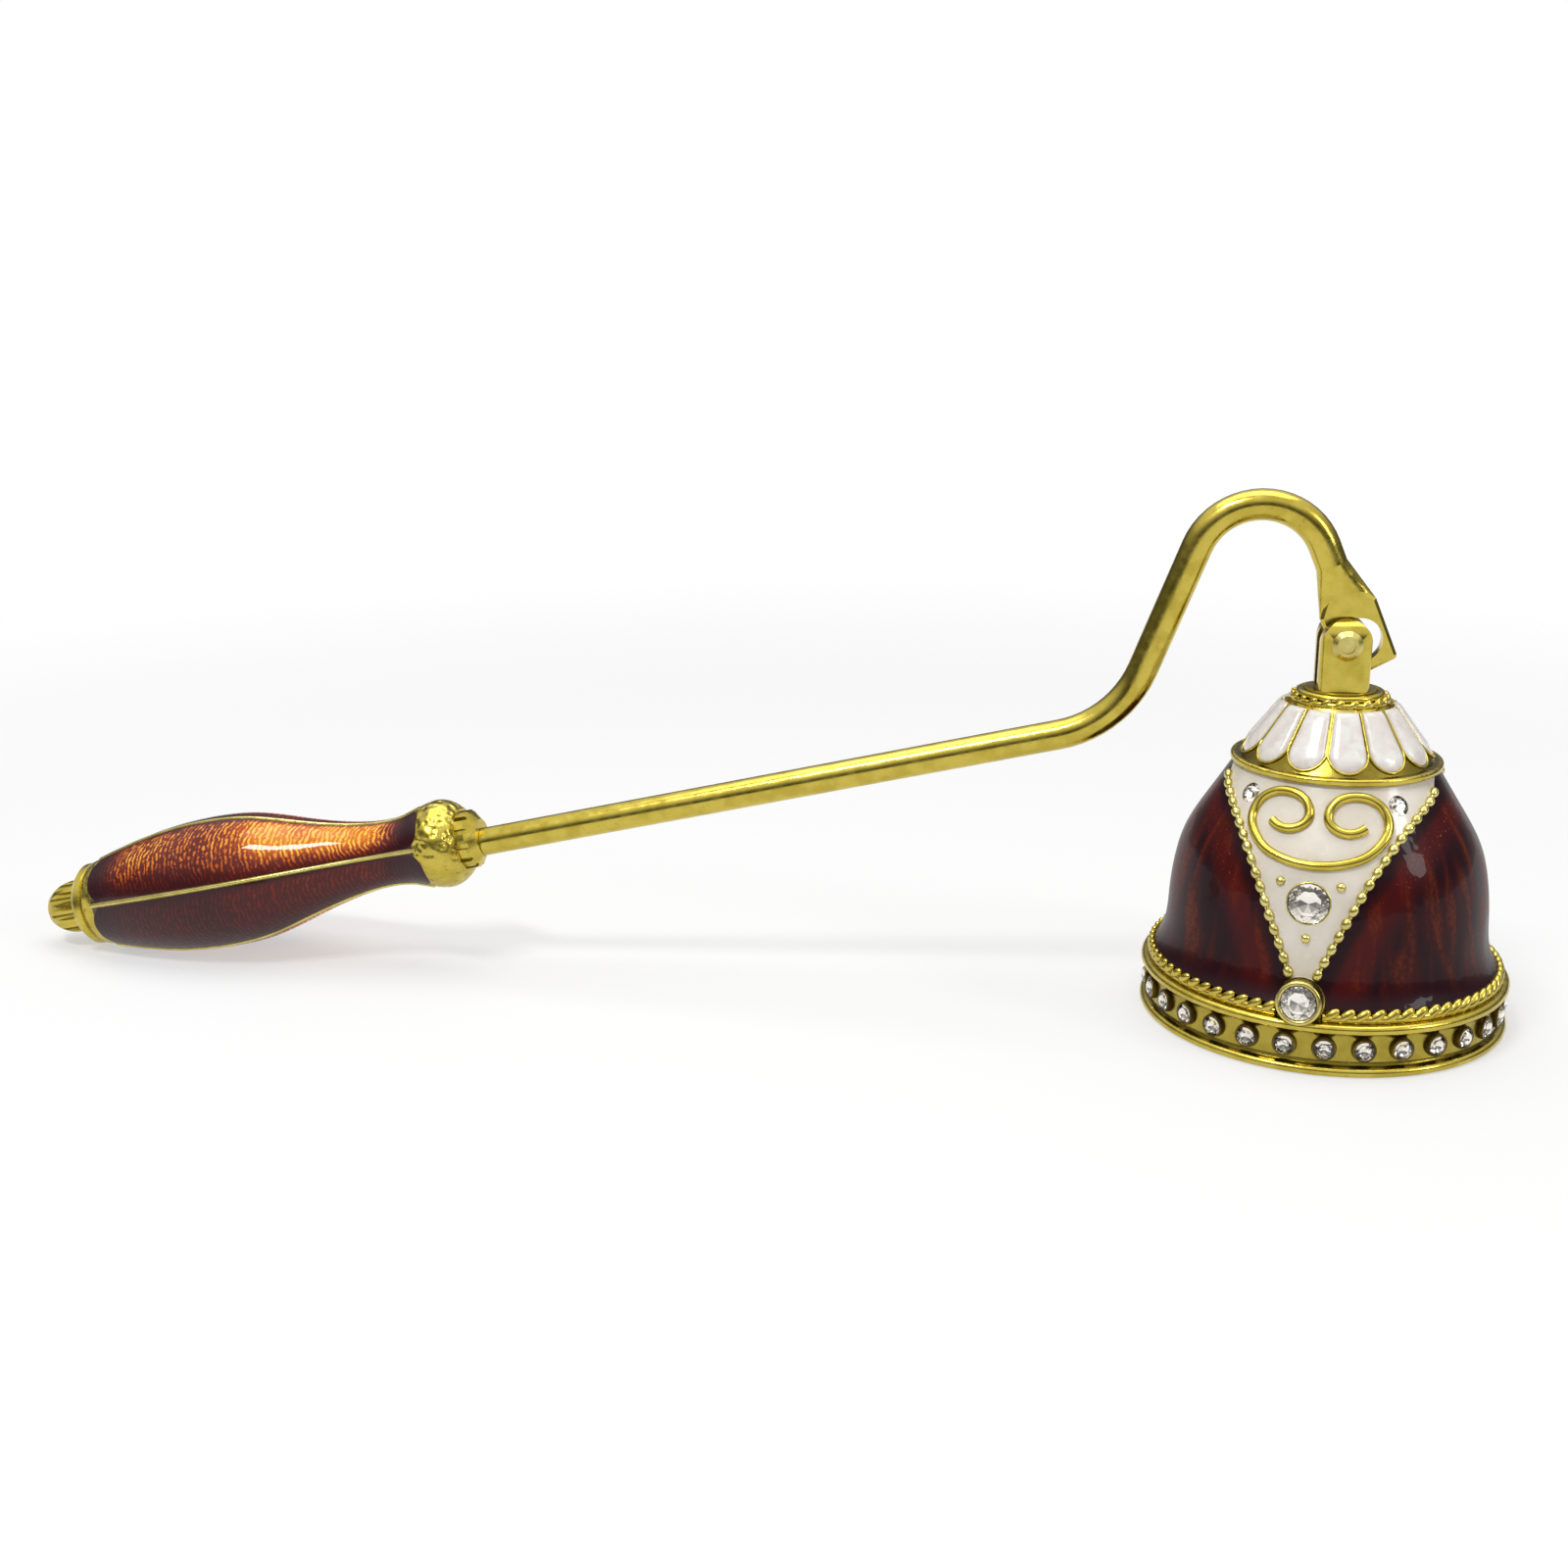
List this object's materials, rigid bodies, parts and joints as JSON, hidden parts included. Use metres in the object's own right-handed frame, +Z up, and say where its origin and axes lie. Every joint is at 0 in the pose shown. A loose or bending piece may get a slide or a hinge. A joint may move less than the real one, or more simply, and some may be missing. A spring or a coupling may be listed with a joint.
{
  "type": "candle snuffer",
  "caption": "Candle snuffer: an enamelled, crystal-set bell that swings on a rivet at the end of a cranked wand with a panelled enamel handle.",
  "frame": {"origin": "centre of the bell's mouth, in the plane that the bell's rim and the handle's belly rest on", "axes": "+X from the handle towards the bell, in the plane of the wand; +Y along the hinge's rivet; +Z up along the bell's axis"},
  "size_m": [0.1859, 0.0424, 0.0612],
  "materials": {
    "gold": "satin",
    "red_enamel": "gloss",
    "white_enamel": "gloss",
    "pearl_enamel": "gloss",
    "amber_enamel": "gloss",
    "crystal": "faceted"
  },
  "bodies": {
    "wand": {"ferrule": "gold", "finial": "gold", "handle_casting": "gold", "handle_enamel_1": "amber_enamel", "handle_enamel_2": "amber_enamel", "handle_enamel_3": "amber_enamel", "handle_enamel_4": "amber_enamel", "handle_enamel_5": "amber_enamel", "rod": "gold"},
    "bell": {"apex_collet_back": "gold", "apex_collet_front": "gold", "apex_crystal_back": "crystal", "apex_crystal_front": "crystal", "bell_cup": "gold", "centre_crystal_back": "crystal", "centre_crystal_front": "crystal", "clevis": "gold", "crown_rope": "gold", "hinge_pin": "gold", "left_crystal_back": "crystal", "left_crystal_front": "crystal", "panel_border_back": "gold", "panel_border_front": "gold", "panel_enamel_back": "white_enamel", "panel_enamel_front": "white_enamel", "panel_scroll_back": "gold", "panel_scroll_front": "gold", "panel_studs_back": "gold", "panel_studs_front": "gold", "petal_enamel_01": "pearl_enamel", "petal_enamel_02": "pearl_enamel", "petal_enamel_03": "pearl_enamel", "petal_enamel_04": "pearl_enamel", "petal_enamel_05": "pearl_enamel", "petal_enamel_06": "pearl_enamel", "petal_enamel_07": "pearl_enamel", "petal_enamel_08": "pearl_enamel", "petal_enamel_09": "pearl_enamel", "petal_enamel_10": "pearl_enamel", "petal_enamel_11": "pearl_enamel", "petal_enamel_12": "pearl_enamel", "petal_enamel_13": "pearl_enamel", "red_enamel_left": "red_enamel", "red_enamel_right": "red_enamel", "right_crystal_back": "crystal", "right_crystal_front": "crystal", "rim_band": "gold", "rim_crystals": "crystal", "rim_rope": "gold"}
  },
  "joints": [
    {"name": "bell_swing", "type": "hinge", "parent": "wand", "child": "bell", "pos_m": [0, 0, 0.0442], "axis": [0, 1, 0], "range_deg": [-42, 28]}
  ]
}
